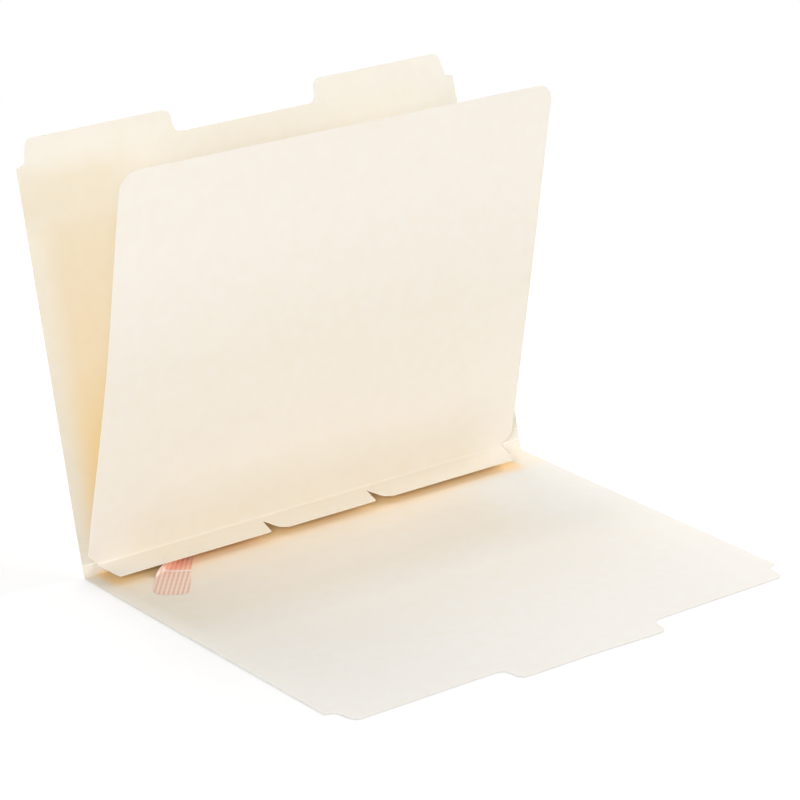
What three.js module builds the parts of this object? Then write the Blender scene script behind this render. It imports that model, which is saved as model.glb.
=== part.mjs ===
// Manila file folder, standing open, with a self-adhesive divider in its fold.
// Millimetres, +Z up. The folder's front cover lies on the table towards -Y,
// its back cover leans back towards +Y, and the fold runs along X.

import * as THREE from 'three';

const INCH = 25.4;

// Folder sheet
const boardThickness = 0.28;
const folderWidth = 11.75 * INCH;
const edgeHeight = 8.5 * INCH;
const tabHeight = 0.5 * INCH;
const scoreSpacing = 0.25 * INCH;
const scoreHalfGap = 0.3;
const backCoverLean = 16.5;
const shoulderFromCentre = 47.5;
const shoulderHalfWidth = 5.5;
const tabEndInset = 5.2;
const tabEndTaper = 1.8;
const tabCornerRadius = 5;
const cornerStep = 1.3;

// Divider, a little off the folder's middle
const dividerShift = -2.5;
const leafSideMargin = 0.1875 * INCH;
const leafHeight = 8.75 * INCH;
const leafCornerRadius = 10;
const leafForwardLean = 8.1;
const footReliefWidth = 5;
const footReliefHeight = 7;
const flangeEndMargin = 0.25 * INCH;
const flangeDepth = 0.75 * INCH;
const flangeHeight = 5.2;
const flangeLeftTaper = 0.8;
const flangeRightTaper = 7.5;
const flangeCornerRadius = 1.2;
const notchFromCentre = 35.5;
const notchDepth = 14.3;
const notchSquareSide = 4.5;
const notchRoundSide = 2.2;
const notchShoulder = 5;
const creaseGap = 0.3;
const restGap = 0.3;

// Adhesive strips and their release liners
const adhesiveThickness = 0.1;
const linerThickness = 0.1;
const stripMargin = 0.3;
const linerRestGap = 0.1;
const tailAngle = 52;
const tailLength = 67.85;
const bendSteps = 10;

// Places that follow from the sizes
const lean = THREE.MathUtils.degToRad(backCoverLean);
const foldHeight = boardThickness / 2;
const tabTop = edgeHeight + tabHeight;
const leafWidth = folderWidth - 2 * leafSideMargin;
const flangeLength = leafWidth - 2 * flangeEndMargin;
const flangeTop = flangeHeight;
const flangeBottom = flangeTop - boardThickness;
const adhesiveBottom = flangeBottom - adhesiveThickness;
const linerBottom = adhesiveBottom - linerThickness;
const creaseHeight = flangeTop + creaseGap / 2;
const creaseSpineY = (creaseHeight - foldHeight) * Math.tan(lean);
const creaseY = creaseSpineY - boardThickness / 2 / Math.cos(lean) - restGap - boardThickness;
const flangeBack = creaseY - creaseGap;
const flangeFront = flangeBack - flangeDepth;

const manila = new THREE.MeshStandardMaterial({ color: 0xf0e4cc, roughness: 0.85, metalness: 0 });
const dividerBoard = new THREE.MeshStandardMaterial({ color: 0xf4ecdd, roughness: 0.85, metalness: 0 });
const adhesive = new THREE.MeshStandardMaterial({ color: 0xe6dfc8, roughness: 0.3, metalness: 0 });
const linerPaper = new THREE.MeshStandardMaterial({ color: 0xe9c3b4, roughness: 0.45, metalness: 0 });

// One cover's die-cut outline, from the fold (v = 0) to the tabs. A cover's outer
// thirds and its middle third end at different heights, joined by S-shaped shoulders.
function coverShape(startHeight, sideHeight, outerHeight, middleHeight) {
  const side = folderWidth / 2;
  const tabEnd = side - tabEndInset;
  const tabEndTop = tabEnd - tabEndTaper;
  const halfway = (outerHeight + middleHeight) / 2;
  const inner = shoulderFromCentre - shoulderHalfWidth;
  const outer = shoulderFromCentre + shoulderHalfWidth;
  const shape = new THREE.Shape();
  shape.moveTo(side, startHeight);
  shape.lineTo(side, sideHeight - cornerStep);
  shape.lineTo(tabEnd, sideHeight);
  shape.lineTo(tabEndTop, outerHeight - tabCornerRadius);
  shape.quadraticCurveTo(tabEndTop, outerHeight, tabEndTop - tabCornerRadius, outerHeight);
  shape.lineTo(outer, outerHeight);
  shape.quadraticCurveTo(shoulderFromCentre, outerHeight, shoulderFromCentre, halfway);
  shape.quadraticCurveTo(shoulderFromCentre, middleHeight, inner, middleHeight);
  shape.lineTo(-inner, middleHeight);
  shape.quadraticCurveTo(-shoulderFromCentre, middleHeight, -shoulderFromCentre, halfway);
  shape.quadraticCurveTo(-shoulderFromCentre, outerHeight, -outer, outerHeight);
  shape.lineTo(-tabEndTop + tabCornerRadius, outerHeight);
  shape.quadraticCurveTo(-tabEndTop, outerHeight, -tabEndTop, outerHeight - tabCornerRadius);
  shape.lineTo(-tabEnd, sideHeight);
  shape.lineTo(-side, sideHeight - cornerStep);
  shape.lineTo(-side, startHeight);
  shape.closePath();
  return shape;
}

function boardPanel(name, shape, material) {
  const geometry = new THREE.ExtrudeGeometry(shape, {
    depth: boardThickness,
    bevelEnabled: false,
    curveSegments: 6,
  });
  geometry.translate(0, 0, -boardThickness / 2);
  const mesh = new THREE.Mesh(geometry, material);
  mesh.name = name;
  return mesh;
}

function rectangleShape(width, from, to) {
  const shape = new THREE.Shape();
  shape.moveTo(-width / 2, from);
  shape.lineTo(width / 2, from);
  shape.lineTo(width / 2, to);
  shape.lineTo(-width / 2, to);
  shape.closePath();
  return shape;
}

// The front cover lies flat: its outline's v axis points towards -Y, and its
// middle tab stands one tab height beyond the edge beside it.
function frontCover() {
  const shape = coverShape(scoreHalfGap, edgeHeight - tabHeight, edgeHeight, tabTop);
  const cover = boardPanel('front_cover', shape, manila);
  cover.rotation.x = Math.PI;
  cover.position.z = foldHeight;
  return cover;
}

// The leaning half of the sheet: three narrow spine strips between the
// expansion scores, then the back cover with a tab at each end of its edge.
function leaningSheet() {
  const group = new THREE.Group();
  const names = ['spine_strip_lower', 'spine_strip_middle', 'spine_strip_upper'];
  names.forEach((name, index) => {
    const from = index * scoreSpacing + scoreHalfGap;
    const to = (index + 1) * scoreSpacing - scoreHalfGap;
    group.add(boardPanel(name, rectangleShape(folderWidth, from, to), manila));
  });
  const start = names.length * scoreSpacing + scoreHalfGap;
  group.add(boardPanel('back_cover', coverShape(start, edgeHeight, tabTop, edgeHeight), manila));
  group.rotation.x = Math.PI / 2 - lean;
  group.position.z = foldHeight;
  return group;
}

// The leaf's front face lies in the plane through the crease, so that it can
// fold down over the flange. Its foot corners are cut away beside the crease.
function dividerLeaf() {
  const half = leafWidth / 2;
  const foot = half - footReliefWidth;
  const radius = leafCornerRadius;
  const shape = new THREE.Shape();
  shape.moveTo(-foot, creaseGap);
  shape.lineTo(foot, creaseGap);
  shape.lineTo(half, footReliefHeight);
  shape.lineTo(half, leafHeight - radius);
  shape.absarc(half - radius, leafHeight - radius, radius, 0, Math.PI / 2);
  shape.lineTo(-half + radius, leafHeight);
  shape.absarc(-half + radius, leafHeight - radius, radius, Math.PI / 2, Math.PI);
  shape.lineTo(-half, footReliefHeight);
  shape.closePath();
  const leaf = boardPanel('divider_leaf', shape, dividerBoard);
  leaf.geometry.translate(0, 0, -boardThickness / 2);
  const group = new THREE.Group();
  group.add(leaf);
  group.rotation.x = Math.PI / 2 + THREE.MathUtils.degToRad(leafForwardLean);
  group.position.set(0, creaseY, creaseHeight);
  return group;
}

// One notch of the flange's free edge: a square corner on its left, a slit up
// to the tip, and a rounded shoulder on its right.
function cutNotch(shape, centre) {
  const tip = flangeDepth - notchDepth;
  const shoulderStart = centre + notchRoundSide;
  shape.lineTo(centre - notchSquareSide, flangeDepth);
  shape.lineTo(centre, tip);
  shape.lineTo(shoulderStart, flangeDepth - notchShoulder);
  shape.quadraticCurveTo(shoulderStart, flangeDepth, shoulderStart + notchShoulder, flangeDepth);
}

function dividerFlange() {
  const half = flangeLength / 2;
  const radius = flangeCornerRadius;
  const shape = new THREE.Shape();
  shape.moveTo(half, 0);
  shape.lineTo(-half, 0);
  shape.lineTo(-half + flangeLeftTaper, flangeDepth - radius);
  shape.quadraticCurveTo(-half + flangeLeftTaper, flangeDepth, -half + flangeLeftTaper + radius, flangeDepth);
  cutNotch(shape, -notchFromCentre);
  cutNotch(shape, notchFromCentre);
  const corner = half - flangeRightTaper;
  shape.lineTo(corner - radius, flangeDepth);
  shape.quadraticCurveTo(corner, flangeDepth, corner + radius * flangeRightTaper / flangeDepth, flangeDepth - radius);
  shape.closePath();
  const flange = boardPanel('divider_flange', shape, dividerBoard);
  flange.rotation.x = Math.PI;
  flange.position.set(0, flangeBack, (flangeTop + flangeBottom) / 2);
  return flange;
}

// The flange's three segments between its ends and its notches.
function flangeSegments() {
  const left = -flangeLength / 2 + flangeLeftTaper;
  const right = flangeLength / 2 - flangeRightTaper;
  const roundSide = notchRoundSide + notchShoulder;
  return [
    { side: 'left', from: left, to: -notchFromCentre - notchSquareSide },
    { side: 'middle', from: -notchFromCentre + roundSide, to: notchFromCentre - notchSquareSide },
    { side: 'right', from: notchFromCentre + roundSide, to: right },
  ];
}

function flatStrip(name, segment, bottom, thickness, material) {
  const length = segment.to - segment.from - 2 * stripMargin;
  const depth = flangeDepth - 2 * stripMargin;
  const geometry = new THREE.BoxGeometry(length, depth, thickness);
  const strip = new THREE.Mesh(geometry, material);
  strip.name = name;
  strip.position.set(
    (segment.from + segment.to) / 2,
    (flangeBack + flangeFront) / 2,
    bottom + thickness / 2,
  );
  return strip;
}

// A closed sheet spanned by ribs. Each rib holds four corners: the two ends of
// its upper face, then the two ends of its lower face.
function ribbedSheet(name, ribs, material) {
  const positions = ribs.flat().flatMap((corner) => [corner.x, corner.y, corner.z]);
  const indices = [];
  const quad = (a, b, c, d) => indices.push(a, b, c, a, c, d);
  for (let rib = 0; rib < ribs.length - 1; rib += 1) {
    const here = rib * 4;
    const next = here + 4;
    quad(here, here + 1, next + 1, next);
    quad(here + 3, here + 2, next + 2, next + 3);
    quad(here + 2, here, next, next + 2);
    quad(here + 1, here + 3, next + 3, next + 1);
  }
  const last = (ribs.length - 1) * 4;
  quad(0, 2, 3, 1);
  quad(last + 1, last + 3, last + 2, last);
  const geometry = new THREE.BufferGeometry();
  geometry.setAttribute('position', new THREE.Float32BufferAttribute(positions, 3));
  geometry.setIndex(indices);
  geometry.computeVertexNormals();
  const mesh = new THREE.Mesh(geometry, material);
  mesh.name = name;
  return mesh;
}

// The left liner is peeled from the flange's end. It stays on the adhesive up
// to a slanting bend line, turns under there, and its tail runs out over the
// front cover. The bend's drop is the height that the flange stands at.
function peeledLiner(name, segment) {
  const right = segment.to - stripMargin;
  const left = segment.from + stripMargin;
  const back = flangeBack - stripMargin;
  const front = flangeFront + stripMargin;
  const tailMiddle = boardThickness + linerRestGap + linerThickness / 2;
  const radius = (linerBottom + linerThickness / 2 - tailMiddle) / 2;
  const bendAngle = THREE.MathUtils.degToRad(tailAngle / 2);
  const along = new THREE.Vector2(-Math.cos(bendAngle), -Math.sin(bendAngle));
  const across = new THREE.Vector2(-Math.sin(bendAngle), Math.cos(bendAngle));
  const bendStart = new THREE.Vector2(left + tailLength, back);

  // The point of the flat strip's edge y where it is `reach` past the bend line.
  const edgePoint = (y, reach) => {
    const run = (y - bendStart.y - reach * across.y) / along.y;
    return bendStart.clone().addScaledVector(along, run).addScaledVector(across, reach);
  };

  // Where a point of the flat strip lies once bent, on one face of the paper.
  const bent = (point, offset) => {
    const reach = point.clone().sub(bendStart).dot(across);
    const foot = point.clone().addScaledVector(across, -reach);
    const turn = THREE.MathUtils.clamp(reach / radius, 0, Math.PI);
    const straight = reach < 0 ? reach : Math.min(0, Math.PI * radius - reach);
    const out = straight + (radius + offset) * Math.sin(turn);
    const place = foot.addScaledVector(across, out);
    const height = tailMiddle + radius + (radius + offset) * Math.cos(turn);
    return new THREE.Vector3(place.x, place.y, height);
  };

  const rib = (frontPoint, backPoint) => [
    bent(frontPoint, linerThickness / 2),
    bent(backPoint, linerThickness / 2),
    bent(frontPoint, -linerThickness / 2),
    bent(backPoint, -linerThickness / 2),
  ];

  const ribs = [rib(new THREE.Vector2(right, front), new THREE.Vector2(right, back))];
  for (let step = 0; step <= bendSteps; step += 1) {
    const reach = (Math.PI * radius * step) / bendSteps;
    ribs.push(rib(edgePoint(front, reach), edgePoint(back, reach)));
  }
  ribs.push(rib(new THREE.Vector2(left, front), new THREE.Vector2(left, back)));
  return ribbedSheet(name, ribs, linerPaper);
}

function divider() {
  const group = new THREE.Group();
  group.add(dividerLeaf());
  group.add(dividerFlange());
  flangeSegments().forEach((segment) => {
    const adhesiveName = `adhesive_strip_${segment.side}`;
    const linerName = `release_liner_${segment.side}`;
    group.add(flatStrip(adhesiveName, segment, adhesiveBottom, adhesiveThickness, adhesive));
    if (segment.side === 'left') {
      group.add(peeledLiner(linerName, segment));
    } else {
      group.add(flatStrip(linerName, segment, linerBottom, linerThickness, linerPaper));
    }
  });
  group.position.x = dividerShift;
  return group;
}

const folder = new THREE.Group();
folder.add(frontCover());
folder.add(leaningSheet());
folder.add(divider());

// The origin is the middle of the folder's footprint, at table height.
folder.updateMatrixWorld(true);
const footprint = new THREE.Box3().setFromObject(folder, true);
folder.position.y = -(footprint.min.y + footprint.max.y) / 2;

export default folder;
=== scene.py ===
# %% [markdown]
# # An open manila folder with an adhesive divider
# The object is made of card and paper only: one die-cut folder sheet, creased
# into two covers and a narrow expansion spine, and one divider sheet, creased
# into a tall leaf and a flange. Strips of adhesive lie under the flange, still
# covered by release liners. Everything here is a thin sheet, so the lesson is
# about sheets: how to cut them, bend them a little and make them look like card.
# The sheets are measured in millimetres, and MM turns those into metres.

# %% Load the frame
import math

import bpy
from mathutils import Matrix, Vector


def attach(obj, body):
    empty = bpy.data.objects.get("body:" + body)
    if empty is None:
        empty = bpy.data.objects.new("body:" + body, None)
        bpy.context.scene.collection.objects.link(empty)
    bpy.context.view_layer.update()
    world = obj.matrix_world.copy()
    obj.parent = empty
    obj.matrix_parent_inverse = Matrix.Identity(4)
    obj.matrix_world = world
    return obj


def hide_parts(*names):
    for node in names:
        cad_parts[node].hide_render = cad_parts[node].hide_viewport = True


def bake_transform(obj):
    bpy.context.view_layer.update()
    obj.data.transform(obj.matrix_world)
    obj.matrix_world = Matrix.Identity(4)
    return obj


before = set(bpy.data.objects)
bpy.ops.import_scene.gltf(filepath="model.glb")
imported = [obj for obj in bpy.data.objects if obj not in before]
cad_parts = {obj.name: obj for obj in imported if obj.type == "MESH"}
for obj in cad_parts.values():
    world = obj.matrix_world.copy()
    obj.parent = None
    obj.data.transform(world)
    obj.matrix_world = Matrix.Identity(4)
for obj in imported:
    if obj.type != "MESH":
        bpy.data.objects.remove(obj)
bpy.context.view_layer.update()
MM = 0.001

# %% [markdown]
# ## The camera
# The photograph was taken from the front left, with a long lens. Its place was
# found by matching the corners of both covers, which have standard sizes, to
# the picture. Azimuth, elevation and roll, in degrees, give the three axes of
# the camera, and FOLD_Y is where the fold line, which runs along X, lies.

# %% Camera
FOLD_Y = 81.77 * MM
AZIMUTH, ELEVATION, ROLL = -39.4254, 20.9249, 0.882
CAMERA_PLACE = Vector((-1.103938, -1.415720 + FOLD_Y, 0.751541))
FOCAL_PIXELS = 3591.84
PICTURE_PIXELS = 800
SENSOR_WIDTH = 36
FARTHEST_SEEN = 20


def camera_axes(azimuth, elevation, roll):
    a, e, r = (math.radians(v) for v in (azimuth, elevation, roll))
    back = Vector((math.sin(a) * math.cos(e), -math.cos(a) * math.cos(e), math.sin(e)))
    right = (-back).cross(Vector((0, 0, 1))).normalized()
    up = right.cross(-back)
    rolled_right = right * math.cos(r) + up * math.sin(r)
    rolled_up = up * math.cos(r) - right * math.sin(r)
    return rolled_right, rolled_up, back


camera_data = bpy.data.cameras.new("camera")
camera_data.sensor_width = SENSOR_WIDTH
camera_data.lens = FOCAL_PIXELS / PICTURE_PIXELS * SENSOR_WIDTH
camera_data.clip_end = FARTHEST_SEEN
camera = bpy.data.objects.new("camera", camera_data)
axes = Matrix(camera_axes(AZIMUTH, ELEVATION, ROLL)).transposed()
camera.matrix_world = Matrix.Translation(CAMERA_PLACE) @ axes.to_4x4()
bpy.context.collection.objects.link(camera)
bpy.context.scene.camera = camera
print("lens in mm:", round(camera_data.lens, 1))

# %% [markdown]
# ## Colours and nodes
# Colours are written as they look on a screen. One function turns such a hex
# value into the linear numbers that a shader works with, and one small function
# adds a node, sets it and links it. The four nodes that come up again and again
# have a function each, which gives back the node with its output, ready to be
# linked onwards. So a material or a tree reads as a short recipe.

# %% Colours and nodes


def linear(hex_colour):
    channels = [int(hex_colour[i : i + 2], 16) / 255 for i in (1, 3, 5)]
    turned = [c / 12.92 if c <= 0.04045 else ((c + 0.055) / 1.055) ** 2.4 for c in channels]
    return (*turned, 1.0)


def add(tree, kind, settings=None, **inputs):
    """Add a node. An input is a value, or a pair of node and output to link.

    An input goes by its name, with _ for a space, or by i and its number.
    """
    node = tree.nodes.new(kind)
    for name, value in (settings or {}).items():
        setattr(node, name, value)
    for name, value in inputs.items():
        numbered = name[0] == "i" and name[1:].isdigit()
        key = int(name[1:]) if numbered else name.replace("_", " ")
        if isinstance(value, tuple) and isinstance(value[0], bpy.types.Node):
            tree.links.new(value[0].outputs[value[1]], node.inputs[key])
        else:
            node.inputs[key].default_value = value
    return node


print("linear value of mid grey:", round(linear("#808080")[0], 3))

# %% Nodes that come up again and again
VALUE_RESULTS = "DOT_PRODUCT", "DISTANCE", "LENGTH"


def number(tree, operation, *values):
    """A Math node for one to three numbers."""
    inputs = {f"i{index}": value for index, value in enumerate(values)}
    return add(tree, "ShaderNodeMath", {"operation": operation}, **inputs), 0


def vector(tree, operation, *values, **named):
    """A Vector Math node for one or two vectors."""
    inputs = {f"i{index}": value for index, value in enumerate(values)}
    node = add(tree, "ShaderNodeVectorMath", {"operation": operation}, **inputs, **named)
    return node, "Value" if operation in VALUE_RESULTS else "Vector"


def ranged(tree, value, low, high, start=0.0, end=1.0, smooth=False):
    """A Map Range node: start at low, end at high, and no further on either side."""
    settings = {"interpolation_type": "SMOOTHSTEP" if smooth else "LINEAR"}
    sizes = {"From_Min": low, "From_Max": high, "To_Min": start, "To_Max": end}
    return add(tree, "ShaderNodeMapRange", settings, Value=value, **sizes), "Result"


def mix(tree, share, first, second, blend="MIX"):
    """A Mix node for colours. Its colour inputs are numbers 6 and 7, its output is 2."""
    settings = {"data_type": "RGBA", "blend_type": blend}
    return add(tree, "ShaderNodeMix", settings, i0=share, i6=first, i7=second), 2


print("vector results that are one number:", *VALUE_RESULTS)

# %% Beginning and end of a material


def new_material(name):
    material = bpy.data.materials.new(name)
    material.use_nodes = True
    tree = material.node_tree
    tree.nodes.clear()
    return material, tree


def shade(tree, **values):
    """End a material with the shader that has these values."""
    shader = add(tree, "ShaderNodeBsdfPrincipled", **values)
    add(tree, "ShaderNodeOutputMaterial", Surface=(shader, "BSDF"))


print("materials so far:", len(bpy.data.materials))

# %% [markdown]
# ## Painted light and shade by place
# Thin card lets some light through, and sheets that stand close together throw
# a warm light on each other and shade each other. That light could be traced
# through the card, but it would be slow and grainy, so light and shade are
# painted into the card's colour. The painted colour depends on the distance
# from the fold line, and there are two rows of it: one for open places, which
# paints shade and light along the fold, and one for the middle of a sheet's
# inner face, where another sheet covers it, which paints warm shade and glow.
# A cover also has a painted end shade, on its inner face towards one end of the
# fold.

# %% Painted light and shade by place
FACING = 0.1, 0.4
SHADE_EDGE = 1
BLACK, WHITE = "#000000", "#FFFFFF"


def fold_tone(tree, place, stops):
    """A colour by the distance from the fold line; stops are pairs of mm and hex colour."""
    parts = add(tree, "ShaderNodeSeparateXYZ", Vector=(place, "Object"))
    across = add(tree, "ShaderNodeCombineXYZ", X=(parts, "Y"), Y=(parts, "Z"))
    distance = vector(tree, "DISTANCE", (across, "Vector"), (FOLD_Y, 0.0, 0.0))
    reach = stops[-1][0]
    ramp = add(tree, "ShaderNodeValToRGB", Fac=ranged(tree, distance, 0.0, reach * MM))
    elements = ramp.color_ramp.elements
    while len(elements) < len(stops):
        elements.new(0.5)
    for element, (millimetres, hex_colour) in zip(elements, stops):
        element.position = millimetres / reach
        element.color = linear(hex_colour)
    return ramp, "Color"


def facing_share(tree, place, inward):
    """1 on a face that points inward, and 0 on one that points across or away."""
    along = vector(tree, "DOT_PRODUCT", (place, "Normal"), inward)
    return ranged(tree, along, *FACING)


# The mask of the covered row of painted light and shade.
def covered_shaded_share(tree, place, inward, centre, full, none, highest):
    """1 on the inner face, up to full mm to each side of centre and up to highest mm.

    It falls to 0 at none mm to each side.
    """
    parts = add(tree, "ShaderNodeSeparateXYZ", Vector=(place, "Object"))
    sideways = number(tree, "ABSOLUTE", number(tree, "SUBTRACT", (parts, "X"), centre * MM))
    inside = ranged(tree, sideways, none * MM, full * MM, smooth=True)
    below = ranged(tree, (parts, "Z"), (highest + SHADE_EDGE) * MM, highest * MM)
    here = number(tree, "MULTIPLY", inside, below)
    return number(tree, "MULTIPLY", here, facing_share(tree, place, inward))


# The mask of a cover's painted end shade.
def end_shade_share(tree, place, inward, none, full, near, far):
    """1 on the inner face from x = full mm to the end of the fold, and 0 before none mm.

    Across, it rises over the near pair of distances from the fold and falls over the far one.
    """
    parts = add(tree, "ShaderNodeSeparateXYZ", Vector=(place, "Object"))
    sideways = ranged(tree, (parts, "X"), none * MM, full * MM, smooth=True)
    stops = [(near[0], BLACK), (near[1], WHITE), (far[0], WHITE), (far[1], BLACK)]
    here = number(tree, "MULTIPLY", sideways, fold_tone(tree, place, stops))
    return number(tree, "MULTIPLY", here, facing_share(tree, place, inward))


print("inner tones fade in where a normal turns inward:", FACING)

# %% [markdown]
# ## Manila card
# Manila is a semi-bleached card, calendered between steel rolls. Its fibres lie
# in soft clouds of a few millimetres, it has short darker fibres here and there,
# and its skin is matt. A picture of card would repeat, so noise gives both. The
# clouds are drawn at 7 mm and the fibres at 1.6 by 0.5 mm, which is coarser than
# the real ones so that they still show. The same fibres raise the skin by less
# than a tenth of a millimetre.

# %% Manila card
CLOUDS_PER_METRE = 140.0
CLOUD_RANGE, CLOUD_STRENGTH, CLOUD_HEX = (0.35, 0.65), 0.6, "#FEFCF8"
FIBRES_PER_METRE = 600.0, 1900.0, 1900.0
FLECK_RANGE, FLECK_STRENGTH = (0.66, 0.8), 0.35
SKIN_STRENGTH, SKIN_HEIGHT = 0.12, 0.00008


def manila_card(
    name, fleck_hex, inward, open_shaded_stops, covered_shaded_stops, covered, end_shade_hex=None, end=None
):
    """Card with cloudy formation, short fibres, and painted light and shade by place."""
    material, tree = new_material(name)
    place = add(tree, "ShaderNodeTexCoord")
    open_shaded, covered_shaded = (fold_tone(tree, place, row) for row in (open_shaded_stops, covered_shaded_stops))
    shaded_card = mix(tree, covered_shaded_share(tree, place, inward, **covered), open_shaded, covered_shaded)
    # The end colour is painted shade; end says where it lies.
    if end_shade_hex:
        shaded_card = mix(tree, end_shade_share(tree, place, inward, **end), shaded_card, linear(end_shade_hex))
    clouds = add(
        tree, "ShaderNodeTexNoise", Vector=(place, "Object"), Scale=CLOUDS_PER_METRE, Detail=3.0
    )
    cloud_share = ranged(tree, (clouds, "Fac"), *CLOUD_RANGE, end=CLOUD_STRENGTH)
    clouded = mix(tree, cloud_share, shaded_card, linear(CLOUD_HEX), "MULTIPLY")
    grain = add(tree, "ShaderNodeMapping", Vector=(place, "Object"), Scale=FIBRES_PER_METRE)
    fibres = add(tree, "ShaderNodeTexNoise", Vector=(grain, "Vector"), Scale=1.0, Detail=2.0)
    fleck_share = ranged(tree, (fibres, "Fac"), *FLECK_RANGE, end=FLECK_STRENGTH)
    flecked = mix(tree, fleck_share, clouded, linear(fleck_hex))
    skin = add(
        tree, "ShaderNodeBump",
        Height=(fibres, "Fac"), Strength=SKIN_STRENGTH, Distance=SKIN_HEIGHT,
    )
    shade(
        tree, Base_Color=flecked, Roughness=0.82, IOR=1.45, Specular_IOR_Level=0.25,
        Normal=(skin, "Normal"),
    )
    return material


print("clouds of", round(1 / CLOUDS_PER_METRE / MM, 1), "mm")

# %% The card of the two covers and the divider
# Front cover: the open row paints shade about 20 to 100 mm from the fold, the covered row paints
# the warm shadow under and in front of the flange, and the end colour paints shade towards the
# right end.
front_card = manila_card(
    "manila_card_front", "#EFE4CC", inward=(0, 0, 1),
    open_shaded_stops=[
        (0, "#FFF6E8"), (19, "#F6EEE1"), (60, "#F2EDE3"), (110, "#F8F5EE"), (200, "#F6F3EE"),
    ],
    covered_shaded_stops=[
        (0, "#FFE2B2"), (14, "#FFE2B2"), (20, "#FFEACD"), (26, "#F5E9D8"), (45, "#EEE6D9"),
        (75, "#EFE8DC"), (110, "#F8F4ED"), (200, "#F6F3EE"),
    ],
    covered={"centre": -4.5, "full": 134, "none": 141.5, "highest": 0.8},
    end_shade_hex="#F1EFEA", end={"none": 55, "full": 115, "near": (19, 27), "far": (80, 130)},
)
# Back cover: the open row paints shade near the fold, the covered row paints the warm glow and
# shade of the pocket behind the leaf, and the end colour paints shade near the left tab.
back_card = manila_card(
    "manila_card_back", "#EDE0C4", inward=(0, -1, 0),
    open_shaded_stops=[(0, "#F5F0E3"), (40, "#F8F3E6"), (175, "#F7F1E2"), (218, "#F6F2E8")],
    covered_shaded_stops=[
        (0, "#FBEFD8"), (30, "#FBDDA8"), (60, "#FBE2AF"), (110, "#F6E6C9"), (180, "#F1E5CD"),
        (205, "#F9F4E8"), (218, "#F6F2E8"),
    ],
    covered={"centre": 0.0, "full": 128, "none": 149, "highest": 300},
    end_shade_hex="#F1E8D5", end={"none": -60, "full": -105, "near": (175, 192), "far": (205, 219)},
)
# Divider: the covered row paints shade near the crease, and both rows paint light and shade up
# the leaf, darkest about 110 mm up.
divider_card = manila_card(
    "manila_card_divider", "#EEE0C6", inward=(0, -0.7, 0.7),
    open_shaded_stops=[
        (0, "#F9F2E8"), (25, "#F9F2E8"), (50, "#F8F1E5"), (110, "#F6EFE3"), (180, "#F9F3E9"),
    ],
    covered_shaded_stops=[
        (0, "#F3EADB"), (20, "#F3EADB"), (45, "#F8F1E5"), (110, "#F6EFE3"), (180, "#F9F3E9"),
    ],
    covered={"centre": 0.0, "full": 100, "none": 147, "highest": 300},
)
print("made:", front_card.name, back_card.name, divider_card.name)

# %% [markdown]
# ## Sheets
# A die-cut sheet is described by lanes across it: at each x, the rows of points
# from where the card starts to where it ends. The points of the cut are listed
# once, from left to right, and lanes are added between them so that the sheet
# can bend. A rule then says where each point of the flat sheet lies in space.
# Geometry Nodes give the sheet its thickness: one small tree serves every sheet
# of card, so that all have the same thickness and the same clean edge.

# %% Thickness by Geometry Nodes
CARD_THICKNESS = 0.28 * MM
MERGE_DISTANCE = 0.000002


def thicken_in(tree, enter, surface):
    """End a tree: give the surface both faces and an edge, then real geometry and a material."""
    normal = add(tree, "GeometryNodeInputNormal")
    half = number(tree, "MULTIPLY", (enter, "Thickness"), -0.5)
    down = vector(tree, "SCALE", (normal, "Normal"), Scale=half)
    lowered = add(tree, "GeometryNodeSetPosition", Geometry=surface, Offset=down)
    raised = add(
        tree, "GeometryNodeExtrudeMesh", {"mode": "FACES"},
        Mesh=(lowered, "Geometry"), Offset_Scale=(enter, "Thickness"), Individual=False,
    )
    turned = add(tree, "GeometryNodeFlipFaces", Mesh=(lowered, "Geometry"))
    both = add(tree, "GeometryNodeJoinGeometry")
    for side in (raised, turned):
        tree.links.new(side.outputs["Mesh"], both.inputs[0])
    closed = add(
        tree, "GeometryNodeMergeByDistance", Geometry=(both, "Geometry"), Distance=MERGE_DISTANCE
    )
    real = add(tree, "GeometryNodeRealizeInstances", Geometry=(closed, "Geometry"))
    painted = add(
        tree, "GeometryNodeSetMaterial",
        Geometry=(real, "Geometry"), Material=(enter, "Material"),
    )
    add(tree, "NodeGroupOutput", Geometry=(painted, "Geometry"))


def new_tree(name, **inputs):
    """A Geometry Nodes tree with named inputs, and the node that hands them in."""
    tree = bpy.data.node_groups.new(name, "GeometryNodeTree")
    sockets = tree.interface
    sockets.new_socket("Geometry", in_out="INPUT", socket_type="NodeSocketGeometry")
    for label, kind in inputs.items():
        label = label.replace("_", " ")
        sockets.new_socket(label, in_out="INPUT", socket_type="NodeSocket" + kind)
    sockets.new_socket("Geometry", in_out="OUTPUT", socket_type="NodeSocketGeometry")
    return tree, add(tree, "NodeGroupInput")


thicken, entered = new_tree("card_thickness", Thickness="Float", Material="Material")
thicken_in(thicken, entered, (entered, "Geometry"))
print("tree:", thicken.name, len(thicken.nodes), "nodes")

# %% Cutting and bending a sheet


def columns_between(points, spacing):
    """Fill a left-to-right list of (x, value...) with straight steps no wider than spacing."""
    filled = [points[0]]
    for left, right in zip(points, points[1:]):
        steps = max(1, math.ceil((right[0] - left[0]) / spacing))
        for i in range(1, steps + 1):
            share = i / steps
            filled.append(tuple(a + (b - a) * share for a, b in zip(left, right)))
    return filled


def even(start, end, steps):
    """Numbers from start to end in even steps."""
    return [start + (end - start) * step / steps for step in range(steps + 1)]


def metres(place):
    """A place in mm, measured from the fold line on the table, as a point of the frame."""
    return Vector(place) * MM + Vector((0, FOLD_Y, 0))


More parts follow.
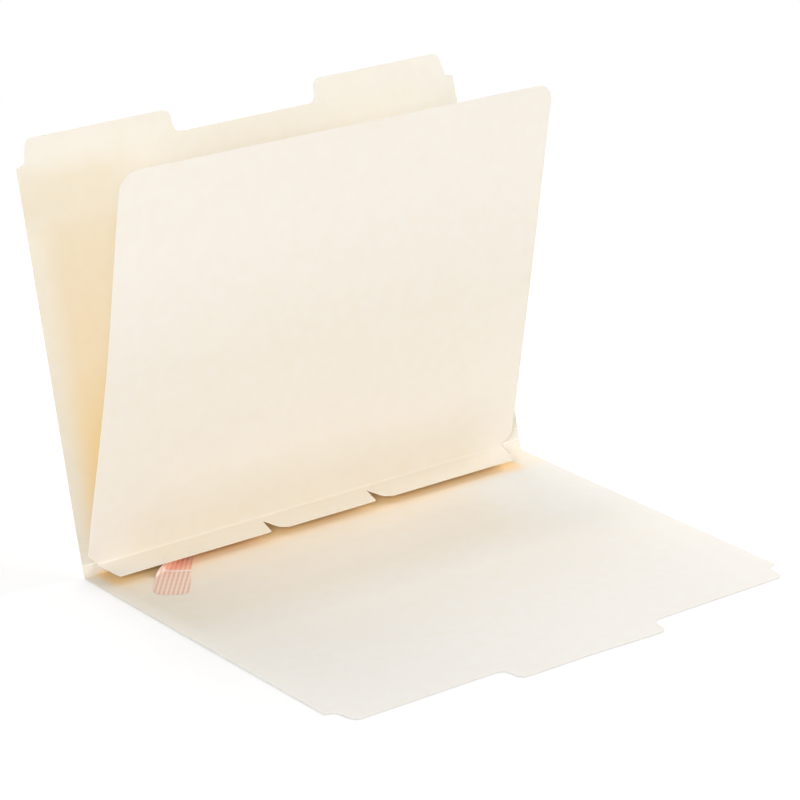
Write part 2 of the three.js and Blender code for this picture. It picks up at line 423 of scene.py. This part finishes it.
def folded(v, turn, radius):
    """(y, z) of a sheet's point at v mm from a crease that turns the level sheet up by turn."""
    reach = radius * math.tan(turn / 2)
    if v <= -reach:
        return v, 0.0
    if v >= reach:
        return v * math.cos(turn), v * math.sin(turn)
    angle = turn * (v + reach) / (2 * reach)
    return radius * math.sin(angle) - reach, radius * (1 - math.cos(angle))


def sheet_surface(name, lanes, place):
    """A one-sided sheet: lanes of (x, rows), all with as many rows, laid out by place(x, row)."""
    vertices = [tuple(metres(place(x, row))) for x, rows in lanes for row in rows]
    count = len(lanes[0][1])
    faces = []
    for lane in range(len(lanes) - 1):
        for here in range(lane * count, (lane + 1) * count - 1):
            faces.append((here, here + count, here + count + 1, here + 1))
    mesh = bpy.data.meshes.new(name)
    mesh.from_pydata(vertices, [], faces)
    return mesh


print("a level sheet folds up to", folded(10, math.pi / 2, 1))

# %% From a surface to a finished piece
SHARP_ANGLE = math.radians(40)


def socket_id(tree, name):
    sockets = tree.interface.items_tree
    return next(s.identifier for s in sockets if s.name == name and s.in_out == "INPUT")


def finished(name, mesh, tree, material, **values):
    """Run a Geometry Nodes tree on a mesh and keep the plain result as one object."""
    source = bpy.data.objects.new(name + "_source", mesh)
    bpy.context.collection.objects.link(source)
    modifier = source.modifiers.new("nodes", "NODES")
    modifier.node_group = tree
    modifier[socket_id(tree, "Material")] = material
    for key, value in values.items():
        modifier[socket_id(tree, key.replace("_", " "))] = value
    source.update_tag()
    bpy.context.view_layer.update()
    evaluated = source.evaluated_get(bpy.context.evaluated_depsgraph_get())
    result = bpy.data.meshes.new_from_object(evaluated)
    bpy.data.objects.remove(source)
    piece = bpy.data.objects.new(name, result)
    bpy.context.collection.objects.link(piece)
    result.shade_smooth()
    result.set_sharp_from_angle(angle=SHARP_ANGLE)
    print(name, len(result.polygons), "faces")
    return piece


def card_sheet(name, lanes, place, material):
    surface = sheet_surface(name, lanes, place)
    return finished(name, surface, thicken, material, Thickness=CARD_THICKNESS)


def settle(piece, body, slot, *nodes):
    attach(piece, body)
    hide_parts(*nodes)


print("sharp edges from", round(math.degrees(SHARP_ANGLE)), "degrees")

# %% [markdown]
# ## The folder's outline
# Both covers end in the same kind of edge: a straight line 215.9 mm from the
# fold and tabs that stand half an inch beyond it, with S-shaped shoulders. The
# front cover has its tab in the middle, the back cover has one at each end. So
# one function cuts both, with the heights of the outer and middle parts.

# %% Shoulders and corners of the cut
SIDE = 149.225
TAB = 12.7
EDGE, TAB_TOP = 215.9, 228.6
SHOULDER_HALF_WIDTH, SHOULDER_STEPS = 5.5, 8
CORNER_INSET, CORNER_TAPER, CORNER_RADIUS, CORNER_STEPS = 5.2, 1.8, 5.0, 6
SIDE_STEP = 1.3
COVER_SPACING = 6.0


def shoulder(x, before, after):
    """An S-curve near x that joins the height before it to the height after it."""
    points = []
    for t in even(-1, 1, SHOULDER_STEPS):
        across = x + math.copysign(SHOULDER_HALF_WIDTH * t * t, t)
        swing = math.copysign(1 - (1 - abs(t)) ** 2, t)
        points.append((across, before + (after - before) * (0.5 + swing / 2)))
    return points


def corner(height, step_height):
    """The right end of an edge, from the side inwards: a small step, then a rounded corner."""
    x = SIDE - CORNER_INSET - CORNER_TAPER - CORNER_RADIUS
    v = height - CORNER_RADIUS
    points = [(SIDE, step_height - SIDE_STEP), (SIDE - CORNER_INSET, step_height)]
    for angle in even(0, math.pi / 2, CORNER_STEPS):
        points.append((x + CORNER_RADIUS * math.cos(angle), v + CORNER_RADIUS * math.sin(angle)))
    return points


def cover_edge(left, right, outer, middle, step_height):
    """A cover's free edge as (x, height), with shoulders at left and right."""
    end = corner(outer, step_height)
    cut = [(-x, v) for x, v in end] + shoulder(left, outer, middle)
    cut += shoulder(right, middle, outer) + end[::-1]
    return columns_between(cut, COVER_SPACING)


print("folder is", 2 * SIDE, "mm wide")

# %% [markdown]
# ## The front cover
# The front cover lies on the table. It is one sheet with the lowest strip of the
# spine: the sheet turns up at the fold over a small radius, so both CAD panels
# are replaced by a single bent piece. Its free edge isn't quite true: the right
# half stands a little further out. Rows of points crowd where the sheet bends.

# %% Front cover with the lower spine strip
LEAN = math.radians(16.5)
STRIP = 6.35
FOLD_RADIUS = 0.45
CARD_HALF = CARD_THICKNESS / MM / 2
# Each sheet stops short of its scores by this much, so that a turned panel clears the next one.
SCORE_RELIEF = 0.19, 0.07, 0.07
COVER_ROWS = 44
FRONT_SHOULDERS = -48.3, 48.0
LEVEL_END = -2.0
FOLD_ROWS = [
    -1.2, -0.6, -0.45, -0.35, -0.25, -0.15, -0.05, 0.05, 0.15, 0.25, 0.35, 0.45, 0.6, 2.0, 4.2,
    STRIP - SCORE_RELIEF[0],
]
FURTHER_OUT, OUT_FROM, OUT_OVER = 1.8, -10.0, 55.0


def front_place(x, v):
    """v runs from the tab (-228.6) through the fold (0) to the first score (6.35)."""
    y, z = folded(v, math.pi / 2 - LEAN, FOLD_RADIUS)
    return x, y, CARD_HALF + z


def out_of_true(x):
    """How much further out the free edge stands at x than at its left end."""
    share = min(1.0, max(0.0, (x - OUT_FROM) / OUT_OVER))
    return FURTHER_OUT * share * share * (3 - 2 * share)


front_edge = cover_edge(*FRONT_SHOULDERS, outer=EDGE, middle=TAB_TOP, step_height=EDGE - TAB)
front_lanes = [
    (x, even(-end - out_of_true(x), LEVEL_END, COVER_ROWS) + FOLD_ROWS) for x, end in front_edge
]
front_sheet = card_sheet("front_cover_sheet", front_lanes, front_place, front_card)
settle(front_sheet, "folder_base", "manila_board", "front_cover", "spine_strip_lower")

# %% [markdown]
# ## The spine strips and the back cover
# Above the fold come two more strips between scores, each a body of its own.
# The back cover leans back 15 degrees at its left end and 18 at its right, so
# its sheet has a slight twist that starts at the last score.

# %% Spine strips
STRIP_SPACING, STRIP_ROWS = 8.0, 6


def spine_place(x, v):
    """v runs up the leaning spine, from the fold (0)."""
    return x, v * math.sin(LEAN), CARD_HALF + v * math.cos(LEAN)


strip_columns = columns_between([(-SIDE,), (SIDE,)], STRIP_SPACING)
strip_bodies = {"spine_strip_middle": "gusset_middle", "spine_strip_upper": "gusset_upper"}
for index, (node, body) in enumerate(strip_bodies.items(), 1):
    low = STRIP * index + SCORE_RELIEF[index - 1]
    high = STRIP * (index + 1) - SCORE_RELIEF[index]
    strip_lanes = [(x, even(low, high, STRIP_ROWS)) for (x,) in strip_columns]
    strip = card_sheet(node + "_sheet", strip_lanes, spine_place, back_card)
    settle(strip, body, "manila_board", node)

# %% Back cover
TWIST = math.radians(1.85)
LAST_SCORE = 3 * STRIP
BACK_SHOULDERS = -47.9, 50.0


def back_place(x, v):
    """v runs from the fold (0) to the tabs (228.6); the twist starts at the last score."""
    lean = LEAN + TWIST * x / SIDE
    _, y, z = spine_place(x, LAST_SCORE)
    return x, y + (v - LAST_SCORE) * math.sin(lean), z + (v - LAST_SCORE) * math.cos(lean)


back_edge = cover_edge(*BACK_SHOULDERS, outer=TAB_TOP, middle=EDGE, step_height=EDGE)
back_start = LAST_SCORE + SCORE_RELIEF[2]
back_lanes = [(x, even(back_start, end, COVER_ROWS)) for x, end in back_edge]
back_sheet = card_sheet("back_cover_sheet", back_lanes, back_place, back_card)
settle(back_sheet, "back_cover", "manila_board", "back_cover")

# %% [markdown]
# ## The divider
# Leaf and flange are one sheet with a crease. The crease is a soft bend of about
# 1 mm radius, so the whole divider is made as a single sheet: the flange lies
# level, the sheet turns up at the crease, and the leaf leans forward. Its left
# edge bows towards the front.

# %% Outline of the divider
LEAF_HALF, LEAF_TOP, LEAF_RADIUS = 144.46, 222.0, 10.0
LEAF_SLOPE = 3.2
FLANGE_HALF, FLANGE_DEPTH = 138.0, 19.05
FLANGE_CORNER = 1.0
FLANGE_LEFT_INSETS, FLANGE_RIGHT_INSETS = (0.8, 1.8), (7.0, 8.2)
FLANGE_SHOULDER = -2.0
FOOT_TOP, FOOT_DROP, FOOT_GAP, SLIT = 7.0, 6.4, 0.3, 0.1
FOOT_ANGLES = range(0, 50, 10)
NOTCHES = -34.4, 36.6
# Points of a notch: how far right of its tip, and how far in from the flange's free edge.
NOTCH_CUT = [
    (-4.6, 0.0), (-4.4, 0.5), (0.0, 14.3), (1.2, 9.3), (1.8, 5.0), (2.6, 2.6), (4.2, 1.2),
    (6.4, 0.4), (9.5, 0.0),
]
DIVIDER_SPACING = 3.0


def leaf_height(x):
    """Distance from the crease to the leaf's top edge, which runs 1 degree out of true."""
    top = LEAF_TOP - LEAF_SLOPE * x / LEAF_HALF
    into = abs(x) - (LEAF_HALF - LEAF_RADIUS)
    if into <= 0:
        return top
    return top - LEAF_RADIUS + math.sqrt(max(0.0, LEAF_RADIUS**2 - into**2))


def lower_end(insets):
    """The sheet's lower edge at one end, from the leaf's side in, as (distance out, height).

    The leaf's foot is relieved beside the crease, and the flange's end is cut back by insets.
    """
    steps = [LEAF_HALF - LEAF_RADIUS * (1 - math.cos(math.radians(a))) for a in FOOT_ANGLES]
    slope = FOOT_DROP / (LEAF_HALF - FLANGE_HALF)
    foot = [(x, FOOT_TOP - slope * (LEAF_HALF - x)) for x in steps if x > FLANGE_HALF + FOOT_GAP]
    beside, corner_in = insets
    return foot + [
        (FLANGE_HALF + SLIT, FOOT_TOP - FOOT_DROP), (FLANGE_HALF, FLANGE_SHOULDER),
        (FLANGE_HALF - beside, FLANGE_CORNER - FLANGE_DEPTH),
        (FLANGE_HALF - corner_in, -FLANGE_DEPTH),
    ]


left_end = [(-x, height) for x, height in lower_end(FLANGE_LEFT_INSETS)]
right_end = lower_end(FLANGE_RIGHT_INSETS)[::-1]
notches = [(tip + x, into - FLANGE_DEPTH) for tip in NOTCHES for x, into in NOTCH_CUT]
lower_edge = columns_between(left_end + notches + right_end, DIVIDER_SPACING)
print("divider:", len(lower_edge), "lanes")

# %% Divider sheet
SHIFT = -2.6
CREASE_Y, CREASE_Z = 0.992, 5.06
CREASE_RADIUS = 1.1
LEAN_LEFT, LEAN_RIGHT = 9.1, 7.0
BOW_LEFT, BOW_RIGHT, BOW_POWER = 2.75, 0.6, 1.5
CREASE_ROWS = [-1.4, -1.1, -0.8, -0.5, -0.2, 0.1, 0.4, 0.7, 1.0, 1.4]
FLANGE_ROWS, LEAF_ROWS = 10, 44
FLANGE_END, FLANGE_LEAST = -1.6, -1.5
SQUEEZED_ROW = 0.02


def divider_place(x, s):
    """s runs from the flange's free edge (-19.05) over the crease (0) to the leaf's top."""
    share = (LEAF_HALF - x) / (2 * LEAF_HALF)
    lean = math.radians(LEAN_RIGHT + (LEAN_LEFT - LEAN_RIGHT) * share)
    y, z = folded(s, math.pi / 2 + lean, CREASE_RADIUS)
    most = BOW_LEFT * share**BOW_POWER + BOW_RIGHT * (1 - share) ** BOW_POWER
    bow = most * math.sin(math.pi * min(1.0, max(0.0, s / LEAF_TOP))) ** 2
    return x + SHIFT, CREASE_Y + y - bow, CREASE_Z + z


def divider_rows(start, end):
    """Rows from start to end. Beside the flange, its rows are squeezed into the relieved foot."""
    if start < FLANGE_LEAST:
        rows = even(start, FLANGE_END, FLANGE_ROWS) + CREASE_ROWS
    else:
        rows = [start + SQUEEZED_ROW * i for i in range(FLANGE_ROWS + 1 + len(CREASE_ROWS))]
    return rows + even(rows[-1], end, LEAF_ROWS)[1:]


divider_lanes = [(x, divider_rows(start, leaf_height(x))) for x, start in lower_edge]
divider_sheet = card_sheet("divider_sheet", divider_lanes, divider_place, divider_card)
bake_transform(divider_sheet)
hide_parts("divider_leaf", "divider_flange")

# %% [markdown]
# ## Adhesive and release liners
# Under the flange lies clear acrylic adhesive in three strips, each covered by a
# siliconed release paper. The middle and right liners stay as the CAD made them.
# The left one has been peeled from its end: it turns under over a slanting line
# and its tail lies on the front cover. A strip that bends over a cylinder
# follows a rule, so Geometry Nodes bend it: past the bend line a point goes
# round the half circle, and then runs back below. The strip's flat coordinates
# are kept as its UV map, for the print.

# %% Bending rule of the peeled liner


def peel_tree():
    tree, enter = new_tree(
        "peeled_strip", Bend_Start="Vector", Across="Vector", Radius="Float",
        Tail_Height="Float", Thickness="Float", Material="Material",
    )
    radius = (enter, "Radius")
    place = (add(tree, "GeometryNodeInputPosition"), "Position")
    marked = add(
        tree, "GeometryNodeStoreNamedAttribute", {"data_type": "FLOAT2", "domain": "CORNER"},
        Geometry=(enter, "Geometry"), Name="UVMap", Value=place,
    )
    moved = vector(tree, "SUBTRACT", place, (enter, "Bend Start"))
    reach = vector(tree, "DOT_PRODUCT", moved, (enter, "Across"))
    turn = number(tree, "MAXIMUM", number(tree, "DIVIDE", reach, radius), 0.0)
    turn = number(tree, "MINIMUM", turn, math.pi)
    before = number(tree, "MINIMUM", reach, 0.0)
    loop = number(tree, "MULTIPLY", radius, math.pi)
    after = number(tree, "MAXIMUM", number(tree, "SUBTRACT", reach, loop), 0.0)
    sideways = number(tree, "MULTIPLY", number(tree, "SINE", turn), radius)
    out = number(tree, "SUBTRACT", number(tree, "ADD", before, sideways), after)
    step = number(tree, "SUBTRACT", out, reach)
    slide = vector(tree, "SCALE", (enter, "Across"), Scale=step)
    rise = number(tree, "ADD", number(tree, "COSINE", turn), 1.0)
    height = number(tree, "MULTIPLY_ADD", rise, radius, (enter, "Tail Height"))
    lifted = add(tree, "ShaderNodeCombineXYZ", Z=height)
    offset = vector(tree, "ADD", slide, (lifted, "Vector"))
    bent = add(tree, "GeometryNodeSetPosition", Geometry=(marked, "Geometry"), Offset=offset)
    thicken_in(tree, enter, (bent, "Geometry"))
    return tree


peel = peel_tree()
print("tree:", peel.name, len(peel.nodes), "nodes")

# %% [markdown]
# ## Release paper
# Glassine release paper is printed on its back with fine lengthwise stripes.
# The stripes stand 2.4 mm apart and are broken every 1.7 mm. The tail's last
# 26 mm are pale. Above them, a light cross band is a painted highlight where
# the paper creases, and a short zone of salmon red is painted warm shade on the
# printed stripes, where the strip turns into its loop in the flange's shade.
# The silicone leaves a low sheen. Sine waves draw the stripes, so that they stay
# sharp from close by. On the peeled strip the pattern reads the strip's own flat
# coordinates, and on the two flat strips it reads Object coordinates.

# %% Release paper
LINER_LEFT, LINER_RIGHT = -136.9, -40.3
LINER_FRONT, LINER_BACK = -18.233, 0.217
STRIPE_PITCH, STRIPE_RANGE, STRIPE_DRIFT = 2.4, (-0.3, 0.9), 0.08
DASH_PITCH, DASH_RANGE, DASH_LEAST = 1.7, (-0.6, 0.6), 0.35
SHADE_RED_HEX, SHADE_RED_STRIPE_HEX = "#FFD2B8", "#F4A285"
SHADE_RED_START, SHADE_RED_END = (27.4, 28.4), (46.0, 39.0)
HIGHLIGHT_AT, HIGHLIGHT_EDGE, HIGHLIGHT_HEX = 26.5, (1.2, 0.7), "#FBEDE4"
HIGHLIGHT_MIDDLE, HIGHLIGHT_SAG = 9.2, 12.0
# Where a pattern takes its place from: the node, its settings and its output.
STRIP_PLACE = "ShaderNodeUVMap", {"uv_map": "UVMap"}, "UV"
OBJECT_PLACE = "ShaderNodeTexCoord", {}, "Object"
# A tail that starts this far left paints no highlight and no red shade on a flat strip.
BEYOND_THE_STRIPS = -300.0


def wave(tree, length, pitch, low_high, least=0.0):
    """Stripes across a length, one every pitch mm, from least between them to 1."""
    turns = number(tree, "MULTIPLY", length, 2 * math.pi / (pitch * MM))
    return ranged(tree, number(tree, "SINE", turns), *low_high, start=least)


def rise_over(tree, length, low_high):
    """0 to 1 over a pair of lengths in mm."""
    return ranged(tree, length, low_high[0] * MM, low_high[1] * MM)


def release_paper(name, coordinates, tail_start, paper_hex, stripe_hex):
    """Striped release paper, with a painted highlight across it and a zone of painted salmon-red
    shade above it.
    """
    material, tree = new_material(name)
    kind, settings, output = coordinates
    flat = (add(tree, kind, settings), output)
    parts = add(tree, "ShaderNodeSeparateXYZ", Vector=flat)
    along = number(tree, "SUBTRACT", (parts, "X"), tail_start * MM)
    across = number(tree, "SUBTRACT", (parts, "Y"), LINER_FRONT * MM + FOLD_Y)
    drift = number(tree, "MULTIPLY", along, STRIPE_DRIFT)
    drifted = number(tree, "SUBTRACT", across, drift)
    stripe = wave(tree, drifted, STRIPE_PITCH, STRIPE_RANGE)
    dash = wave(tree, along, DASH_PITCH, DASH_RANGE, least=DASH_LEAST)
    broken = number(tree, "MULTIPLY", stripe, dash)
    pale = mix(tree, broken, linear(paper_hex), linear(stripe_hex))
    # Salmon red: painted warm shade over the printed stripes, near the loop in the flange's
    # shade.
    red_shade_colour = mix(tree, broken, linear(SHADE_RED_HEX), linear(SHADE_RED_STRIPE_HEX))
    red_shade_share = number(
        tree, "MULTIPLY",
        rise_over(tree, along, SHADE_RED_START), rise_over(tree, along, SHADE_RED_END),
    )
    print_and_shade = mix(tree, red_shade_share, pale, red_shade_colour)
    # A painted highlight across the strip, where the paper creases.
    swing = number(tree, "SUBTRACT", across, HIGHLIGHT_MIDDLE * MM)
    sag = number(tree, "MULTIPLY", number(tree, "MULTIPLY", swing, swing), HIGHLIGHT_SAG)
    middle = number(tree, "ADD", sag, HIGHLIGHT_AT * MM)
    from_highlight = number(tree, "ABSOLUTE", number(tree, "SUBTRACT", along, middle))
    highlighted = mix(tree, rise_over(tree, from_highlight, HIGHLIGHT_EDGE), print_and_shade, linear(HIGHLIGHT_HEX))
    shade(tree, Base_Color=highlighted, Roughness=0.42, IOR=1.48)
    return material


striped_paper = release_paper(
    "striped_release_paper", STRIP_PLACE, LINER_LEFT, "#F8DCCC", "#D5A493"
)
# The flat strips lie in the shade under the flange; their paper and stripes are painted paler
# than the tail's, as painted light.
flat_paper = release_paper(
    "striped_release_paper_flat", OBJECT_PLACE, BEYOND_THE_STRIPS, "#FAF1E6", "#EFD8C8"
)
for node in ("release_liner_middle", "release_liner_right"):
    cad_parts[node].material_slots[0].material = flat_paper
print("painted the flat liners:", flat_paper.name)

# %% [markdown]
# ## Adhesive film
# The adhesive is a clear acrylic film, 0.1 mm thick, coated on the flange. On
# card it looks a little darker and yellower than the card itself, with a wet
# gloss and a faint orange-peel texture of about 1.5 mm from the coating roller.
# One noise drives colour, gloss and bump, as one uneven coating does.

# %% Adhesive film
RIPPLES_PER_METRE = 650.0
GLOSS_RANGE, SMOOTHEST, ROUGHEST = (0.3, 0.7), 0.12, 0.26


def adhesive_film():
    material, tree = new_material("acrylic_adhesive_film")
    place = add(tree, "ShaderNodeTexCoord")
    ripples = add(
        tree, "ShaderNodeTexNoise", Vector=(place, "Object"), Scale=RIPPLES_PER_METRE, Detail=2.0
    )
    height = (ripples, "Fac")
    colour = mix(tree, height, linear("#EFE3C4"), linear("#F5EBD2"))
    gloss = ranged(tree, height, *GLOSS_RANGE, start=SMOOTHEST, end=ROUGHEST)
    skin = add(tree, "ShaderNodeBump", Height=height, Strength=0.25, Distance=0.0001)
    shade(tree, Base_Color=colour, Roughness=gloss, IOR=1.47, Normal=(skin, "Normal"))
    return material


film = adhesive_film()
for side in ("left", "middle", "right"):
    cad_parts["adhesive_strip_" + side].material_slots[0].material = film
print("painted the adhesive strips:", film.name)

# %% [markdown]
# ## The peeled liner
# The strip is cut flat, with a rounded tail end, from as many rows as its loop
# needs to stay smooth. The bending rule then lays its tail on the front cover.

# %% Peeled left liner
LINER_THICKNESS = 0.1
LINER_SHIFT = -2.5
LINER_LANES, LINER_ROWS = 37, 200
TAIL_BULGE, BULGE_LOSS = 4.5, 0.3
BEND = math.radians(26)
PEELED_LENGTH = 67.85
TAIL_HEIGHT, LOOP_TOP = 0.43, 4.77


def liner_rows(share):
    """Rows along the strip, from the rounded tail end to the notch."""
    bulge = TAIL_BULGE * (1 - (2 * share - 1) ** 4) * (1 - BULGE_LOSS * share)
    return even(LINER_LEFT - bulge, LINER_RIGHT, LINER_ROWS)


def liner_place(share, along):
    """share runs across the strip, from its front edge (0) to its back edge (1)."""
    return along, LINER_FRONT + (LINER_BACK - LINER_FRONT) * share, 0.0


liner_lanes = [(share, liner_rows(share)) for share in even(0, 1, LINER_LANES)]
liner_surface = sheet_surface("release_liner_left_sheet", liner_lanes, liner_place)
liner_surface.flip_normals()
peeled = finished(
    "release_liner_left_sheet", liner_surface, peel, striped_paper,
    Bend_Start=tuple(metres((LINER_LEFT + PEELED_LENGTH, LINER_BACK, 0.0))),
    Across=(-math.sin(BEND), math.cos(BEND), 0.0),
    Radius=(LOOP_TOP - TAIL_HEIGHT) / 2 * MM, Tail_Height=TAIL_HEIGHT * MM,
    Thickness=LINER_THICKNESS * MM,
)
peeled.data.transform(Matrix.Translation((LINER_SHIFT * MM, 0, 0)))
settle(peeled, "folder_base", "liner_paper", "release_liner_left")

# %% [markdown]
# ## The floor and the light
# The picture has a pure white ground and very soft light. More light would
# bleach the card, so the white is only shown to the rays that look at the
# background: the world and the floor give it to camera, glossy and transmission
# rays, and light the card at a plain level. Near the object the floor is real
# paper with a weak glow, so that it keeps the object's shadow.

# %% Floor
PURE_WHITE = (1.0, 1.0, 1.0, 1.0)
FLOOR_GREY = (0.8, 0.8, 0.8, 1.0)
FLOOR_GLOW = 0.27
WHITE_OVER = 0.4, 0.9
FLOOR_HALF, FLOOR_DROP = 6, 0.0002
CORNER_SIGNS = (-1, -1), (1, -1), (1, 1), (-1, 1)


def background_rays(tree):
    """1 for the rays that show the background: camera, glossy and transmission rays."""
    path = add(tree, "ShaderNodeLightPath")
    seen = number(tree, "MAXIMUM", (path, "Is Camera Ray"), (path, "Is Glossy Ray"))
    return number(tree, "MAXIMUM", seen, (path, "Is Transmission Ray"))


def studio_floor():
    """Grey-white paper. Background rays see it near white, and pure white from 0.9 m outwards."""
    material, tree = new_material("studio_floor")
    paint = add(tree, "ShaderNodeBsdfDiffuse", Color=FLOOR_GREY)
    glow = add(tree, "ShaderNodeEmission", Color=PURE_WHITE, Strength=FLOOR_GLOW)
    lift = add(tree, "ShaderNodeAddShader", i0=(paint, 0), i1=(glow, 0))
    place = add(tree, "ShaderNodeTexCoord")
    far = ranged(tree, vector(tree, "LENGTH", (place, "Object")), *WHITE_OVER, smooth=True)
    white = add(tree, "ShaderNodeEmission", Color=PURE_WHITE, Strength=1.0)
    seen = add(tree, "ShaderNodeMixShader", Fac=far, i1=(lift, 0), i2=(white, 0))
    rays = background_rays(tree)
    chosen = add(tree, "ShaderNodeMixShader", Fac=rays, i1=(paint, 0), i2=(seen, 0))
    add(tree, "ShaderNodeOutputMaterial", Surface=(chosen, 0))
    return material


floor_corners = [(FLOOR_HALF * x, FLOOR_HALF * y, 0) for x, y in CORNER_SIGNS]
floor_mesh = bpy.data.meshes.new("floor")
floor_mesh.from_pydata(floor_corners, [], [(0, 1, 2, 3)])
floor_mesh.materials.append(studio_floor())
floor = bpy.data.objects.new("floor", floor_mesh)
floor.location.z = -FLOOR_DROP
bpy.context.collection.objects.link(floor)
print("floor:", 2 * FLOOR_HALF, "m wide")

# %% World
SKY_STRENGTH = 0.17

world = bpy.data.worlds.new("studio")
world.use_nodes = True
sky = world.node_tree
sky.nodes.clear()
white = add(sky, "ShaderNodeBackground", Color=PURE_WHITE, Strength=1.0)
light = add(sky, "ShaderNodeBackground", Color=PURE_WHITE, Strength=SKY_STRENGTH)
rays = background_rays(sky)
chosen = add(sky, "ShaderNodeMixShader", Fac=rays, i1=(light, 0), i2=(white, 0))
add(sky, "ShaderNodeOutputWorld", Surface=(chosen, 0))
bpy.context.scene.world = world
print("the sky lights the card at", SKY_STRENGTH)

# %% [markdown]
# ## The lamps
# One large lamp above would leave the standing sheets dark. So seven broad, weak
# lamps stand around the object. Those at the left and right light the covers'
# and the leaf's front faces, and those behind fill the pocket, so that no face
# falls dark. Each has a place in metres and its watts.

# %% Lamps
AIM = (0, 0, 0.08)
LAMP_WIDTH = 1.2
LAMPS = {
    "front_left": ((-1.6, -1.3, 0.9), 28.8),
    "front_right": ((1.6, -1.3, 0.9), 11.8),
    "right": ((2.0, 0.0, 0.9), 26.3),
    "back_right": ((1.4, 1.4, 1.2), 4.2),
    "back": ((0.0, 2.0, 1.2), 6.4),
    "back_low": ((-0.5, 2.2, 0.45), 9.0),
    "back_high": ((0.3, 1.2, 2.0), 13.7),
}


def soft_lamp(name, place, power):
    data = bpy.data.lights.new(name, "AREA")
    data.shape = "DISK"
    data.size = LAMP_WIDTH
    data.energy = power
    lamp = bpy.data.objects.new(name, data)
    lamp.location = place
    lamp.rotation_euler = (Vector(AIM) - Vector(place)).to_track_quat("-Z", "Y").to_euler()
    bpy.context.collection.objects.link(lamp)


for lamp_name, (lamp_place, watts) in LAMPS.items():
    soft_lamp(lamp_name, lamp_place, watts)
bpy.context.scene.view_settings.view_transform = "Standard"
print("lamps:", len(LAMPS))
